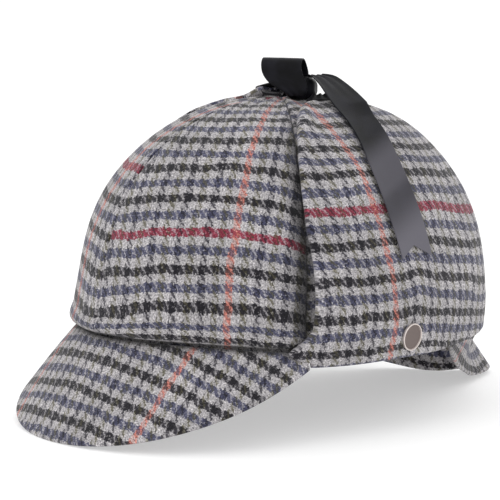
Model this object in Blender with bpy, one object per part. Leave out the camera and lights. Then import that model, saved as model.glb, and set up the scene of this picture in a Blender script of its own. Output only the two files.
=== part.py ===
"""A deerstalker hat with its ear flaps tied up over the crown.

Metres, +Z up. The hat faces -Y and its wearer's left is +X. It stands on the lowest edges of its two
peaks, at z = 0. A place on the crown is given by phi, the angle round the rim from the centre front towards
the wearer's left, and by climb, the way up the cloth from the rim.
"""

import math

import bmesh
import bpy
from mathutils import Vector

MM = 0.001

# The rim is an ellipse, and the crown a short upright wall under a superellipse dome.
RIM_HALF_LENGTH = 107.1 * MM
RIM_HALF_WIDTH = 83.9 * MM
RIM_HEIGHT = 39.9 * MM
RIM_CENTRE_Y = 0.5 * MM
FRONT_LIFT = 7.1 * MM
BACK_DIP = 3.0 * MM
CROWN_HEIGHT = 114.5 * MM
WALL_HEIGHT = 17.0 * MM
DOME_CLIMB = 157.0 * MM
DOME_POWER = 2.3
APEX_CLIMB = WALL_HEIGHT + DOME_CLIMB

# Cloth and seams
CLOTH = 3.0 * MM
SEAM_GAP = 0.3 * MM
SIDE_SEAM = 66
BACK_SEAM = 114
GORE_TOP = 0.995
BULGE = 5.4 * MM
BULGE_HEIGHT = 7.0 * MM

# Peaks: a stiffened crescent at the front, and one at the back that curls down at its ends
PEAK_THICKNESS = 3.6 * MM
PEAK_EDGE = 0.62
PEAK_SEAT = 0.35 * MM
FRONT_PEAK_LENGTH = 57.2 * MM
FRONT_PEAK_SLOPE = 53.4
FRONT_PEAK_RELAX = 12.4
FRONT_PEAK_REACH = 72.2
FRONT_PEAK_END = 66.2
PEAK_SWEEP = 0.93
PEAK_TAPER = 2.15
BACK_PEAK_SWEEP = 0.67
BACK_PEAK_SKEW = 0.0028
BACK_PEAK = (
    # angle from the centre back towards the wearer's left, reach outwards, drop below the rim
    (-60, -3.0, 4.6),
    (-50, -8.0, 11.4),
    (-40, -8.6, 18.4),
    (-30, -4.0, 26.0),
    (-20, 4.0, 32.0),
    (-12, 8.0, 35.0),
    (-6, 13.0, 35.8),
    (-3, 22.0, 35.6),
    (0, 33.2, 35.2),
    (4, 30.0, 35.6),
    (9, 18.0, 36.0),
    (15, 6.0, 34.8),
    (20, 0.0, 32.2),
    (30, -8.0, 26.4),
    (40, -10.6, 19.4),
    (50, -9.0, 12.0),
    (60, -3.0, 4.6),
)

# Ear flaps: doubled cloth, folded up against the crown
FLAP_OUTLINE = (
    # climb, front edge, back edge, lift off the crown, thickness
    (-4.6, 67.6, 151.0, 1.8, 1.4),
    (-3.6, 67.6, 151.5, 1.0, 3.2),
    (-1.0, 67.6, 151.8, 0.8, 4.3),
    (3.5, 67.6, 152.0, 0.8, 4.9),
    (4.3, 61.0, 152.0, 0.8, 4.9),
    (8.0, 64.6, 152.0, 0.6, 5.4),
    (13.0, 66.8, 152.0, 0.6, 5.5),
    (24.0, 67.3, 152.0, 0.6, 5.0),
    (40.0, 66.7, 152.0, 0.6, 4.2),
    (56.0, 65.4, 152.0, 0.6, 3.4),
    (76.0, 65.0, 152.0, 0.6, 2.8),
    (96.0, 65.2, 151.0, 0.7, 2.6),
    (112.0, 66.2, 149.0, 0.7, 2.8),
)
LEFT_FLAP_TOP = (
    # climb, front edge, back edge, lift off the crown, thickness
    (124.0, 67.4, 145.0, 0.7, 3.2),
    (131.0, 69.0, 140.0, 0.7, 3.4),
    (137.0, 71.6, 134.0, 0.8, 3.6),
    (141.6, 76.4, 127.0, 0.9, 3.6),
    (144.3, 84.0, 118.0, 1.2, 3.0),
)
RIGHT_FLAP_TOP = (
    # climb, front edge, back edge, lift off the crown, thickness
    (120.0, 71.0, 146.0, 0.7, 2.8),
    (126.0, 77.0, 142.0, 0.7, 2.8),
    (131.0, 84.0, 138.0, 0.7, 2.8),
    (135.0, 90.0, 134.0, 0.9, 3.0),
    (139.0, 96.0, 130.0, 1.5, 3.4),
    (142.0, 100.0, 126.0, 2.6, 3.8),
    (144.5, 105.0, 121.0, 4.0, 3.4),
)
FLAP_ROW = 7.0

# Satin ribbon, its knot and its bow
RIBBON_THICKNESS = 0.8 * MM
KNOT_CENTRE = Vector((10.5, 4.2, 119.6)) * MM
KNOT_SIZE = Vector((15.5, 13.5, 9.4)) * MM
BOW_TURN = 38
UPRIGHT_LOOP = (
    # towards the viewer, height above the rim, shift along the ribbon's width, width
    (7.9, 116.0, 0.4, 8.0),
    (8.7, 118.4, -1.2, 13.0),
    (8.4, 122.0, -4.2, 19.0),
    (7.8, 126.4, -7.0, 20.4),
    (7.2, 130.8, -8.0, 20.4),
    (4.8, 133.7, -8.0, 20.4),
    (0.6, 133.7, -8.0, 20.4),
    (-2.4, 131.0, -7.8, 20.4),
    (-2.6, 127.6, -6.0, 18.4),
    (-1.2, 125.3, -3.4, 14.0),
)
LYING_LOOP = (
    # away from the viewer, height above the rim, shift along the ribbon's width, width
    (7.9, 117.8, -2.0, 10.0),
    (11.0, 117.2, -4.0, 13.0),
    (16.0, 116.9, -6.0, 16.0),
    (22.0, 116.7, -7.4, 17.0),
    (25.6, 117.4, -8.0, 17.0),
    (25.4, 119.0, -8.0, 17.0),
    (20.0, 119.8, -7.4, 17.0),
    (13.0, 119.8, -5.0, 14.0),
    (8.0, 119.6, -2.0, 10.0),
)
LEFT_ARCH = (
    # x, y, height above the rim, width
    (15.0, 9.0, 125.6, 8.0),
    (19.0, 11.4, 125.0, 13.0),
    (26.0, 12.0, 121.8, 17.0),
    (33.0, 12.0, 117.9, 19.6),
    (40.0, 12.0, 113.6, 21.2),
)
LEFT_TAIL = (
    # phi, climb, lift off the crown, width
    (101.6, 122.0, 5.0, 21.2),
    (100.2, 114.0, 4.6, 21.2),
    (98.9, 106.0, 4.4, 21.2),
    (97.2, 96.0, 4.5, 21.2),
    (96.1, 85.0, 4.6, 21.2),
    (95.8, 71.0, 4.9, 21.2),
    (96.2, 56.0, 5.3, 21.2),
    (97.3, 38.0, 6.0, 20.8),
)
RIGHT_ARCH = (
    # x, y, height above the rim, width
    (-0.4, 8.6, 121.9, 9.0),
    (4.0, 11.0, 121.8, 12.0),
    (12.0, 15.6, 121.4, 16.0),
    (19.0, 19.2, 120.8, 19.0),
    (24.6, 21.4, 120.2, 20.0),
)
RIGHT_TAIL = (
    # phi, climb, lift off the crown, width
    (118.0, 140.4, 8.6, 20.0),
    (117.0, 134.0, 5.8, 20.0),
    (115.0, 126.0, 4.6, 20.0),
    (112.0, 116.0, 4.6, 20.0),
    (108.0, 102.0, 4.3, 20.0),
    (105.0, 86.0, 4.4, 20.0),
    (103.0, 70.0, 4.8, 20.0),
    (102.0, 53.0, 5.4, 20.0),
)
TAIL_NOTCH = 6.0 * MM
LEFT_LEAD = (
    # x, y, height above the rim, width
    (24.6, 6.4, 114.2, 19.0),
    (23.0, 7.0, 115.0, 17.0),
    (21.4, 7.9, 115.9, 13.0),
    (19.9, 8.8, 117.0, 10.0),
)
RIGHT_LEAD = (
    # x, y, height above the rim, width
    (24.4, 11.8, 115.6, 11.0),
    (19.0, 11.0, 115.1, 13.0),
    (10.0, 9.0, 115.2, 13.0),
    (3.0, 6.0, 115.5, 11.0),
    (-0.2, 3.6, 116.0, 9.0),
)

# Round metal badge, low on the left flap
BADGE_RADIUS = 6.7 * MM
BADGE_THICKNESS = 1.2 * MM
BADGE_PHI = 94.7
BADGE_CLIMB = 5.6 * MM
BADGE_LIFT = 6.3 * MM
BADGE_NOD = 5.5
BADGE_SIDES = 32
BADGE_PROFILE = (
    # share of the radius, share of the thickness
    (0.97, 0.0),
    (1.0, 0.3),
    (1.0, 0.8),
    (0.94, 1.0),
    (0.85, 1.0),
    (0.79, 0.62),
    (0.3, 0.7),
)


def clear_scene():
    for obj in list(bpy.data.objects):
        bpy.data.objects.remove(obj, do_unlink=True)


def material(name, color, roughness, metallic=0.0):
    made = bpy.data.materials.new(name)
    made.use_nodes = True
    shader = made.node_tree.nodes["Principled BSDF"]
    shader.inputs["Base Color"].default_value = (*color, 1.0)
    shader.inputs["Roughness"].default_value = roughness
    shader.inputs["Metallic"].default_value = metallic
    return made


def between(rows, x, column):
    """The table's column at x, where the first column holds x, along straight runs."""
    if x <= rows[0][0]:
        return rows[0][column]
    for low, high in zip(rows, rows[1:]):
        if x <= high[0]:
            share = (x - low[0]) / (high[0] - low[0])
            return low[column] + share * (high[column] - low[column])
    return rows[-1][column]


def smooth_rows(rows, parts):
    """The table with further rows between its own, on Catmull-Rom curves."""
    made = []
    last = len(rows) - 1
    for i in range(last):
        corners = [rows[max(0, i - 1)], rows[i], rows[i + 1], rows[min(last, i + 2)]]
        for step in range(parts):
            t = step / parts
            made.append(tuple(
                0.5 * (2 * b + (c - a) * t + (2 * a - 5 * b + 4 * c - d) * t**2 + (3 * b - a - 3 * c + d) * t**3)
                for a, b, c, d in zip(*corners)
            ))
    made.append(tuple(map(float, rows[-1])))
    return made


def fine_rows(rows, step):
    """The table with even rows added wherever its first column moves by more than a step."""
    made = []
    for low, high in zip(rows, rows[1:]):
        parts = math.ceil((high[0] - low[0]) / step)
        made += [tuple(a + (b - a) * i / parts for a, b in zip(low, high)) for i in range(parts)]
    return made + [rows[-1]]


def rim_lift(phi):
    """How far the rim stands above its height at the sides."""
    turn = math.cos(math.radians(phi))
    return FRONT_LIFT * turn if turn > 0 else BACK_DIP * turn


def bulge(phi, height):
    """The roll of cloth over the front peak's seam."""
    if abs(phi) >= SIDE_SEAM or height <= 0:
        return 0.0
    share = height / BULGE_HEIGHT
    return BULGE * math.cos(math.radians(phi * 90 / SIDE_SEAM)) ** 0.7 * share * math.exp(1 - share)


def rim_point(phi, offset=0.0):
    """A point of the rim's ellipse, and the level way out from it."""
    turn = math.radians(phi)
    out = Vector((RIM_HALF_LENGTH * math.sin(turn), -RIM_HALF_WIDTH * math.cos(turn), 0)).normalized()
    point = Vector((RIM_HALF_WIDTH * math.sin(turn), RIM_CENTRE_Y - RIM_HALF_LENGTH * math.cos(turn), RIM_HEIGHT))
    return point + out * offset, out


def crown_point(phi, climb, offset=0.0, edge_lift=True):
    """A point on the crown, moved outwards square to it. edge_lift follows the rise and dip of the rim."""
    turn = math.radians(phi)
    dome = CROWN_HEIGHT - WALL_HEIGHT
    angle = math.radians(90) * min(1.0, max(0.0, climb - WALL_HEIGHT) / DOME_CLIMB)
    share = math.cos(angle) ** (2 / DOME_POWER)
    rise = math.sin(angle) ** (2 / DOME_POWER)
    height = min(climb, WALL_HEIGHT) + dome * rise
    if edge_lift and climb < WALL_HEIGHT:
        height += rim_lift(phi) * (1 - max(0.0, climb) / WALL_HEIGHT)
    side = share ** (DOME_POWER - 1)
    x = RIM_HALF_WIDTH * share * math.sin(turn)
    y = RIM_CENTRE_Y - RIM_HALF_LENGTH * share * math.cos(turn)
    out = Vector((
        side * math.sin(turn) / RIM_HALF_WIDTH,
        -side * math.cos(turn) / RIM_HALF_LENGTH,
        rise ** (DOME_POWER - 1) / dome,
    ))
    return Vector((x, y, RIM_HEIGHT + height)) + out.normalized() * offset


def wall_point(phi, climb, offset):
    """A point on the crown's own cloth, with the roll above the front peak."""
    return crown_point(phi, climb, offset + bulge(phi, climb))


def solid(name, faces_of, finish, smooth=40):
    """A named object from a function that fills a bmesh, with its faces turned outwards."""
    mesh = bpy.data.meshes.new(name)
    work = bmesh.new()
    faces_of(work)
    bmesh.ops.recalc_face_normals(work, faces=work.faces)
    if work.calc_volume(signed=True) < 0:
        bmesh.ops.reverse_faces(work, faces=work.faces)
    work.to_mesh(mesh)
    work.free()
    mesh.shade_smooth()
    mesh.set_sharp_from_angle(angle=math.radians(smooth))
    mesh.materials.append(finish)
    obj = bpy.data.objects.new(name, mesh)
    bpy.context.scene.collection.objects.link(obj)
    return obj


def two_skins(name, outer, inner, finish):
    """A closed wall of cloth between two grids of points of the same size."""

    def fill(work):
        skins = [[[work.verts.new(p) for p in row] for row in grid] for grid in (outer, inner)]
        rows, columns = len(outer), len(outer[0])
        for skin in skins:
            for i in range(rows - 1):
                for j in range(columns - 1):
                    work.faces.new((skin[i][j], skin[i][j + 1], skin[i + 1][j + 1], skin[i + 1][j]))
        border = [(0, j) for j in range(columns)]
        border += [(i, columns - 1) for i in range(1, rows)]
        border += [(rows - 1, j) for j in range(columns - 2, -1, -1)]
        border += [(i, 0) for i in range(rows - 2, 0, -1)]
        for (i, j), (k, m) in zip(border, border[1:] + border[:1]):
            work.faces.new((skins[0][i][j], skins[0][k][m], skins[1][k][m], skins[1][i][j]))

    return solid(name, fill, finish)


def grid_normals(grid):
    """The unit normal at each point of a grid."""
    rows, columns = len(grid), len(grid[0])
    made = []
    for i in range(rows):
        line = []
        for j in range(columns):
            along = grid[min(rows - 1, i + 1)][j] - grid[max(0, i - 1)][j]
            across = grid[i][min(columns - 1, j + 1)] - grid[i][max(0, j - 1)]
            line.append(along.cross(across).normalized())
        made.append(line)
    return made


def thickened(name, grid, over, under, finish, edge=1.0, floor=None):
    """A wall round a grid, over and under it along its normals. edge is the last row's share of the first's
    thickness. Where the wall would reach below the floor, it is flattened to rest on it."""
    normals = grid_normals(grid)
    skins = []
    for reach in (over, -under):
        skin = []
        for i, (points, ways) in enumerate(zip(grid, normals)):
            share = 1 + (edge - 1) * i / (len(grid) - 1)
            skin.append([p + n * reach * share for p, n in zip(points, ways)])
        if floor is not None:
            skin = [
                [Vector((p.x, p.y, max(floor, min(p.z, q.z)))) for p, q in zip(*lines)]
                for lines in zip(skin, grid)
            ]
        skins.append(skin)
    return two_skins(name, *skins, finish)


def crown_gore(name, start, end, finish):
    """One panel of the crown between two seams, cut clear of its neighbours."""
    columns = max(5, round((end - start) / 9))
    climbs = [WALL_HEIGHT * share for share in (0, 0.14, 0.28, 0.42, 0.65, 1)]
    dome_steps = 12
    climbs += [WALL_HEIGHT + DOME_CLIMB * GORE_TOP * (i + 1) / dome_steps for i in range(dome_steps)]
    skins = []
    for offset in (0.0, -CLOTH):
        skin = []
        for climb in climbs:
            row = []
            for j in range(columns + 1):
                middle = crown_point((start + end) / 2, climb, offset)
                radius = math.hypot(middle.x, middle.y - RIM_CENTRE_Y)
                clear = math.degrees(SEAM_GAP / 2 / radius) * 1.25
                phi = start + clear + (end - start - 2 * clear) * j / columns
                row.append(wall_point(phi, climb, offset))
            skin.append(row)
        skins.append(skin)
    return two_skins(name, *skins, finish)


def level_way(phi, sweep):
    """The level way out of a peak, which turns a little less than the rim does."""
    turn = math.radians(phi)
    out = sweep * math.atan2(RIM_HALF_LENGTH * math.sin(turn), RIM_HALF_WIDTH * math.cos(turn))
    return Vector((math.sin(out), -math.cos(out), 0))


def front_peak_grid(columns=36, rows=5):
    grid = []
    for i in range(rows + 1):
        line = []
        for j in range(columns + 1):
            phi = FRONT_PEAK_END * (2 * j / columns - 1)
            share = abs(phi) / FRONT_PEAK_REACH
            length = FRONT_PEAK_LENGTH * (1 - share**PEAK_TAPER)
            slope = math.radians(FRONT_PEAK_SLOPE - FRONT_PEAK_RELAX * share**2)
            way = level_way(phi, PEAK_SWEEP) * math.cos(slope) - Vector((0, 0, math.sin(slope)))
            root = rim_point(phi)[0] + Vector((0, 0, rim_lift(phi) - PEAK_SEAT))
            line.append(root + way * length * i / rows)
        grid.append(line)
    return grid


def back_peak_grid(columns=48, rows=5):
    table = [(a, reach * MM, drop * MM) for a, reach, drop in smooth_rows(BACK_PEAK, 4)]
    end = BACK_PEAK[-1][0]
    grid = []
    for i in range(rows + 1):
        line = []
        for j in range(columns + 1):
            psi = end * (2 * j / columns - 1)
            reach = between(table, psi, 1)
            drop = between(table, psi, 2) * (1 - BACK_PEAK_SKEW * rim_point(180 - psi)[0].x / MM)
            way = level_way(psi, BACK_PEAK_SWEEP)
            way = Vector((way.x, -way.y, 0))
            root = rim_point(180 - psi)[0] + Vector((0, 0, rim_lift(180 - psi) - PEAK_SEAT))
            share = i / rows
            line.append(root + way * reach * share - Vector((0, 0, drop * share)))
        grid.append(line[::-1])
    return grid


def ear_flap(name, side, top, finish):
    """A doubled flap from its fold under the rim to its rounded top. side is 1 for the wearer's left."""
    columns = 14
    skins = []
    for skin_index in range(2):
        skin = []
        for climb, front, back, lift, thickness in fine_rows(FLAP_OUTLINE + top, FLAP_ROW):
            offset = (lift + thickness * (1 - skin_index)) * MM
            row = []
            for j in range(columns + 1):
                phi = front + (back - front) * j / columns
                row.append(crown_point(side * phi, climb * MM, offset, edge_lift=False))
            skin.append(row)
        skins.append(skin)
    return two_skins(name, *skins, finish)


def ribbon(name, centres, ways, widths, finish, notch=0.0):
    """A ribbon along its centre line. ways run across it, and a notch cuts its end to a V."""
    grid = []
    for centre, way, width in zip(centres, ways, widths):
        way = way.normalized()
        grid.append([centre - way * width / 2, centre.copy(), centre + way * width / 2])
    if notch:
        grid[-1][1] += (centres[-2] - centres[-1]).normalized() * notch
    return thickened(name, grid, RIBBON_THICKNESS / 2, RIBBON_THICKNESS / 2, finish)


def arch_rows(side, table):
    """Centres, ways across and widths of a ribbon from a table of places over the crown."""
    rows = smooth_rows(table, 2)
    centres = [Vector((side * x, y, z)) * MM + Vector((0, RIM_CENTRE_Y, RIM_HEIGHT)) for x, y, z, _ in rows]
    return centres, [Vector((0, 1, 0))] * len(rows), [row[3] * MM for row in rows]


def ribbon_tail(name, side, arch, tail, finish):
    """From the knot over the flap's top edge and down the flap."""
    centres, ways, widths = arch_rows(side, arch)
    for phi, climb, lift, width in smooth_rows(tail, 2):
        here = crown_point(side * phi, climb * MM, lift * MM)
        beside = crown_point(side * (phi + 2), climb * MM, lift * MM)
        centres.append(here)
        ways.append(beside - here)
        widths.append(width * MM)
    return ribbon(name, centres, ways, widths, finish, TAIL_NOTCH)


def bow_loop(name, table, away, finish):
    """A loop of ribbon that leaves the knot and comes back to it."""
    turn = math.radians(BOW_TURN)
    across = Vector((math.cos(turn), math.sin(turn), 0))
    depth = Vector((math.sin(turn), -math.cos(turn), 0)) * (-1 if away else 1)
    middle = Vector((KNOT_CENTRE.x, RIM_CENTRE_Y + KNOT_CENTRE.y, RIM_HEIGHT))
    rows = smooth_rows(table, 2)
    centres = [
        middle + depth * d * MM + across * shift * MM + Vector((0, 0, height * MM))
        for d, height, shift, _ in rows
    ]
    return ribbon(name, centres, [across] * len(rows), [row[3] * MM for row in rows], finish)


def bow_knot(finish):
    """The ribbon's gathered middle, a small rounded block."""

    def fill(work):
        bmesh.ops.create_cube(work, size=1)
        bmesh.ops.subdivide_edges(work, edges=work.edges[:], cuts=3, use_grid_fill=True)
        for vert in work.verts:
            round_point = vert.co.normalized() * 0.62
            vert.co = vert.co.lerp(round_point, 0.6)
            vert.co = Vector(a * b for a, b in zip(vert.co, KNOT_SIZE))

    knot = solid("bow_knot", fill, finish, smooth=80)
    knot.location = KNOT_CENTRE + Vector((0, RIM_CENTRE_Y, RIM_HEIGHT))
    knot.rotation_euler.z = math.radians(BOW_TURN)
    return knot


def badge(finish):
    """A round metal badge with a raised rim and a plain domed face."""

    def fill(work):
        rings = []
        for radius, depth in BADGE_PROFILE:
            ring = []
            for i in range(BADGE_SIDES):
                turn = 2 * math.pi * i / BADGE_SIDES
                across = BADGE_RADIUS * radius
                ring.append(work.verts.new((
                    across * math.cos(turn), across * math.sin(turn), BADGE_THICKNESS * depth)))
            rings.append(ring)
        for low, high in zip(rings, rings[1:]):
            for i in range(BADGE_SIDES):
                j = (i + 1) % BADGE_SIDES
                work.faces.new((low[i], low[j], high[j], high[i]))
        work.faces.new(rings[0][::-1])
        work.faces.new(rings[-1])

    made = solid("badge", fill, finish)
    here = crown_point(BADGE_PHI, BADGE_CLIMB, BADGE_LIFT, edge_lift=False)
    made.location = here
    out = rim_point(BADGE_PHI)[1] - Vector((0, 0, math.tan(math.radians(BADGE_NOD))))
    made.rotation_euler = out.to_track_quat("Z", "Y").to_euler()
    return made


def main():
    clear_scene()
    tweed = material("tweed", (0.25, 0.25, 0.26), 0.95)
    satin = material("black_satin", (0.03, 0.03, 0.035), 0.4)
    metal = material("badge_metal", (0.5, 0.47, 0.46), 0.35, metallic=1.0)

    seams = {"front": (0, SIDE_SEAM), "side": (SIDE_SEAM, BACK_SEAM), "back": (BACK_SEAM, 180)}
    for place, (start, end) in seams.items():
        crown_gore(f"crown_{place}_left", start, end, tweed)
        crown_gore(f"crown_{place}_right", -end, -start, tweed)

    thickened("front_peak", front_peak_grid(), 0.0, PEAK_THICKNESS, tweed, PEAK_EDGE, floor=0.0)
    thickened("back_peak", back_peak_grid(), 0.0, PEAK_THICKNESS, tweed, PEAK_EDGE, floor=0.0)

    ear_flap("left_ear_flap", 1, LEFT_FLAP_TOP, tweed)
    ear_flap("right_ear_flap", -1, RIGHT_FLAP_TOP, tweed)

    ribbon("left_ribbon_lead", *arch_rows(1, LEFT_LEAD), satin)
    ribbon("right_ribbon_lead", *arch_rows(-1, RIGHT_LEAD), satin)
    ribbon_tail("left_ribbon_tail", 1, LEFT_ARCH, LEFT_TAIL, satin)
    ribbon_tail("right_ribbon_tail", -1, RIGHT_ARCH, RIGHT_TAIL, satin)
    bow_loop("upright_bow_loop", UPRIGHT_LOOP, False, satin)
    bow_loop("lying_bow_loop", LYING_LOOP, True, satin)
    bow_knot(satin)
    badge(metal)


main()
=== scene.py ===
# %% [markdown]
# # A tweed deerstalker
#
# The real hat is six wedges of woollen tweed sewn into a dome, a stiff peak front and back, and two
# doubled ear flaps that are folded up and tied over the top with satin ribbon. It stands on its two
# peaks. The plain solids of all that are loaded first, and each one is then replaced by a finer piece
# that follows the same surface, so that nothing moves and only the looks improve.

# %% Load the solids
import math

import bpy
import numpy as np
from mathutils import Matrix, Vector


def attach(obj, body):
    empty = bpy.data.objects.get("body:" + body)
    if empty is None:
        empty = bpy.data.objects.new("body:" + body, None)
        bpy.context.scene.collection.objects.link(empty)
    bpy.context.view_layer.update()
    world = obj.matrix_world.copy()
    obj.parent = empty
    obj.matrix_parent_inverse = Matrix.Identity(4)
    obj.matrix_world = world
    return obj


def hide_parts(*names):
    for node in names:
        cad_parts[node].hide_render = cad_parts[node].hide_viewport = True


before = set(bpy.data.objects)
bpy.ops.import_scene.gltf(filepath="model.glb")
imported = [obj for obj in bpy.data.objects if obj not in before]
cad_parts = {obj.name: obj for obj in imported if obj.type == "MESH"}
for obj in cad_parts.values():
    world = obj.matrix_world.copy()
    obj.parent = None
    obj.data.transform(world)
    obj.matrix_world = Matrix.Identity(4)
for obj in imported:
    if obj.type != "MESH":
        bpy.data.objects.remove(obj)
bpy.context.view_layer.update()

# %% [markdown]
# ## Where things are
#
# Every piece is placed from the rim, which is an ellipse. phi is the angle round it from the centre
# front towards the wearer's left, and climb is the way up the cloth from the rim. The crown is a short
# wall under a superellipse dome, which a few powers of sine and cosine describe better than any
# sculpted mesh would.

# %% The rim and the crown's surface
MM = 0.001
RIM_HALF_LENGTH = 107.1 * MM
RIM_HALF_WIDTH = 83.9 * MM
RIM_HEIGHT = 39.9 * MM
RIM_CENTRE_Y = 0.5 * MM
FRONT_LIFT = 7.1 * MM
BACK_DIP = 3.0 * MM
CROWN_HEIGHT = 114.5 * MM
WALL_HEIGHT = 17.0 * MM
DOME_CLIMB = 157.0 * MM
DOME_POWER = 2.3
SIDE_SEAM = 66
BULGE = 5.4 * MM
BULGE_HEIGHT = 7.0 * MM


def rim_lift(phi):
    """How far the rim stands above its height at the sides."""
    turn = np.cos(np.radians(phi))
    return np.where(turn > 0, FRONT_LIFT, BACK_DIP) * turn


def bulge(phi, height):
    """The roll of cloth over the front peak's seam."""
    round_front = np.cos(np.radians(np.clip(np.abs(phi) / SIDE_SEAM, 0, 1) * 90)) ** 0.7
    share = np.maximum(height, 0) / BULGE_HEIGHT
    return BULGE * round_front * share * np.exp(1 - share)


def crown_point(phi, climb, offset=0.0, edge_lift=True):
    """Points on the crown, moved outwards square to it."""
    phi, climb, offset = np.broadcast_arrays(*np.atleast_1d(phi, climb, offset))
    turn = np.radians(phi)
    dome = CROWN_HEIGHT - WALL_HEIGHT
    angle = np.radians(90) * np.clip((climb - WALL_HEIGHT) / DOME_CLIMB, 0, 1)
    share = np.cos(angle) ** (2 / DOME_POWER)
    rise = np.sin(angle) ** (2 / DOME_POWER)
    height = np.minimum(climb, WALL_HEIGHT) + dome * rise
    if edge_lift:
        height = height + rim_lift(phi) * (1 - np.clip(climb, 0, WALL_HEIGHT) / WALL_HEIGHT)
    side = share ** (DOME_POWER - 1)
    out = np.stack([
        side * np.sin(turn) / RIM_HALF_WIDTH,
        -side * np.cos(turn) / RIM_HALF_LENGTH,
        rise ** (DOME_POWER - 1) / dome,
    ], -1)
    out /= np.linalg.norm(out, axis=-1, keepdims=True)
    middle = np.stack([
        RIM_HALF_WIDTH * share * np.sin(turn),
        RIM_CENTRE_Y - RIM_HALF_LENGTH * share * np.cos(turn),
        RIM_HEIGHT + height,
    ], -1)
    return middle + out * offset[..., None]


print("apex at", np.round(1000 * crown_point(0, WALL_HEIGHT + DOME_CLIMB)[0], 1))

# %% [markdown]
# ## Camera, floor and light
#
# A long lens from about a metre keeps the hat's shape free of distortion. The camera looks at the
# wearer's left side from in front, a little from above. The stage is a pale floor in an even, bright
# room, with three large soft lamps: the key gives the crown its form, a low one lights the ribbon, and
# one behind and above it lifts the top.

# %% The camera
VIEW_TURN = math.radians(52.72)
VIEW_FALL = math.radians(8.0)
LENS = 157.46
SENSOR = 36
AIM_RIGHT, AIM_UP, STAND_BACK = -15.03 * MM, 37.57 * MM, 1105.4 * MM

right = Vector((math.cos(VIEW_TURN), math.sin(VIEW_TURN), 0))
back = Vector((
    math.sin(VIEW_TURN) * math.cos(VIEW_FALL),
    -math.cos(VIEW_TURN) * math.cos(VIEW_FALL),
    math.sin(VIEW_FALL),
))
up = back.cross(right)
rim_centre = Vector((0, RIM_CENTRE_Y, RIM_HEIGHT))

camera = bpy.data.objects.new("camera", bpy.data.cameras.new("camera"))
camera.data.lens = LENS
camera.data.sensor_width = SENSOR
camera.matrix_world = Matrix.Translation(
    rim_centre + right * AIM_RIGHT + up * AIM_UP + back * STAND_BACK
) @ Matrix((right, up, back)).transposed().to_4x4()
bpy.context.scene.collection.objects.link(camera)
bpy.context.scene.camera = camera
print("camera at", [round(c, 3) for c in camera.matrix_world.translation])

# %% The lamps and the room
bpy.context.scene.view_settings.view_transform = "Standard"
room = bpy.data.worlds.new("room")
room.use_nodes = True
room.node_tree.nodes["Background"].inputs["Color"].default_value = (1.0, 1.0, 1.0, 1.0)
room.node_tree.nodes["Background"].inputs["Strength"].default_value = 1.0
bpy.context.scene.world = room

LAMPS = (
    # name, turn from the camera, height angle, distance, size, power
    ("key_lamp", -48, 42, 1.5, 0.9, 2.4),
    ("ribbon_lamp", 52, 16, 1.6, 0.8, 1.2),
    ("top_lamp", 170, 70, 1.6, 1.0, 1.6),
)
for name, turn, lift, distance, size, power in LAMPS:
    lamp = bpy.data.lights.new(name, "AREA")
    lamp.shape, lamp.size, lamp.energy = "DISK", size, power
    a, e = VIEW_TURN + math.radians(turn), math.radians(lift)
    way = Vector((math.sin(a) * math.cos(e), -math.cos(a) * math.cos(e), math.sin(e)))
    holder = bpy.data.objects.new(name, lamp)
    holder.location = rim_centre + way * distance
    holder.rotation_euler = way.to_track_quat("Z", "Y").to_euler()
    bpy.context.scene.collection.objects.link(holder)
print("lamps:", [row[0] for row in LAMPS])

# %% [markdown]
# ## Shader sums as plain expressions
#
# A finish is easier to read as a formula than as a web of nodes. Value wraps one output of a node and
# lets it be added, multiplied and compared like a number. Each such step adds its Math node. Finish
# makes any other node with one call: its settings first, then the values or links of its sockets.

# %% Value and Finish
class Value:
    """A number that travels along a link of a finish."""

    def __init__(self, finish, socket):
        self.finish, self.socket = finish, socket

    def _sum(self, operation, *others):
        return self.finish.node("ShaderNodeMath", {"operation": operation}, (self, *others))

    def __add__(self, other):
        return self._sum("ADD", other)

    def __sub__(self, other):
        return self._sum("SUBTRACT", other)

    def __rsub__(self, other):
        return self.finish.node("ShaderNodeMath", {"operation": "SUBTRACT"}, (other, self))

    def __mul__(self, other):
        return self._sum("MULTIPLY", other)

    def __truediv__(self, other):
        return self._sum("DIVIDE", other)

    def __lt__(self, other):
        return self._sum("LESS_THAN", other)

    def __gt__(self, other):
        return self._sum("GREATER_THAN", other)

    __radd__, __rmul__ = __add__, __mul__

    def floor(self):
        return self._sum("FLOOR")

    def wrap(self, count):
        return self._sum("FLOORED_MODULO", count)

    def sine(self):
        return self._sum("SINE")

    def power(self, exponent):
        return self._sum("POWER", exponent)

    def between(self, low, high):
        """0 under low, 1 over high, and a smooth rise between them."""
        return self.finish.node(
            "ShaderNodeMapRange", {"interpolation_type": "SMOOTHSTEP"},
            {"Value": self, "From Min": low, "From Max": high},
        )


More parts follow.
